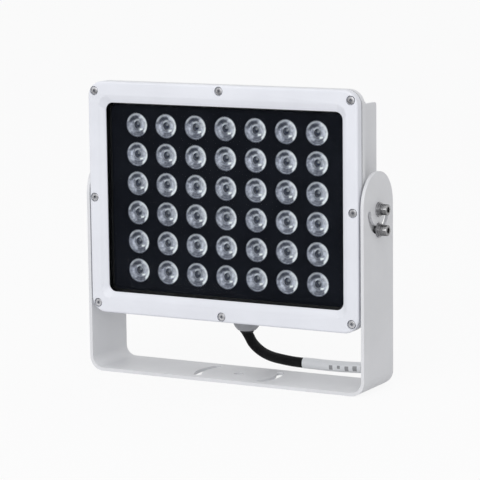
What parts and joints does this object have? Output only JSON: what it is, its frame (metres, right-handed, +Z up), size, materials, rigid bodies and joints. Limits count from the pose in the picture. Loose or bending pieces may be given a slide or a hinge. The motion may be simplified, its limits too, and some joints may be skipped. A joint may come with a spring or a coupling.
{
  "type": "led flood light",
  "caption": "Rectangular LED flood light with a glass front over a grid of round lenses, tilting in a U bracket, with a cable gland and short cord underneath.",
  "frame": {"origin": "middle of the bracket's underside, on the axis of its centre hole", "axes": "+Z up from the mounting surface, the lamp shines towards -Y, +X along the tilt axis"},
  "size_m": [0.2956, 0.1061, 0.265],
  "materials": {
    "bracket_paint": "light grey powder coat on steel, semi-matt",
    "frame_paint": "cool white powder coat on cast aluminium, semi-matt",
    "housing_paint": "light grey powder coat on cast aluminium, semi-matt",
    "tempered_glass": "clear tempered glass",
    "lens_clear": "clear moulded lens plastic, silvery",
    "mask_black": "black moulded plastic, satin",
    "chip_yellow": "yellow phosphor",
    "board_metal": "white solder mask on aluminium",
    "pad_grey": "soft heat-conducting silicone",
    "seal_rubber": "black silicone rubber, matt",
    "screw_steel": "stainless steel",
    "bolt_steel": "dark stainless steel, satin",
    "driver_case": "potted driver in an aluminium case",
    "terminal_plastic": "pale moulded plastic",
    "lead_insulation": "coloured insulation",
    "copper": "bare tinned strands",
    "gland_grey": "grey moulded plastic",
    "cord_rubber": "black rubber, satin",
    "sleeve_white": "pale heat-shrink sleeve",
    "pad_plastic": "black friction plastic"
  },
  "bodies": {
    "bracket": {"bracket": "bracket_paint", "supply_cord": "cord_rubber", "cord_sleeve": "sleeve_white", "cord_leads": "lead_insulation", "lead_tips": "copper"},
    "head": {"front_frame": "frame_paint", "frame_screws": "screw_steel", "body_gasket": "seal_rubber", "front_glass": "tempered_glass", "glass_channel": "seal_rubber", "mask_tray": "mask_black", "lenses": "lens_clear", "led_chips": "chip_yellow", "led_board": "board_metal", "board_screws": "screw_steel", "board_wires": "lead_insulation", "thermal_pad": "pad_grey", "rear_housing": "housing_paint", "driver": "driver_case", "driver_screws": "screw_steel", "terminal_block": "terminal_plastic", "driver_leads": "lead_insulation", "rear_cover": "housing_paint", "cover_gasket": "seal_rubber", "cover_screws": "screw_steel", "gland_body": "gland_grey", "gland_ring": "seal_rubber", "gland_nut": "gland_grey", "gland_seal": "seal_rubber", "held_cord": "cord_rubber", "cord_cores": "lead_insulation", "pivot_bolts": "bolt_steel", "lock_bolts": "bolt_steel", "flat_washers": "bolt_steel", "spring_washers": "bolt_steel", "friction_pads": "pad_plastic"}
  },
  "joints": [
    {"name": "head_tilt", "type": "hinge", "parent": "bracket", "child": "head", "pos_m": [0, 0, 0.16], "axis": [1, 0, 0], "range_deg": [-75, 75], "deforming": ["supply_cord"]}
  ]
}
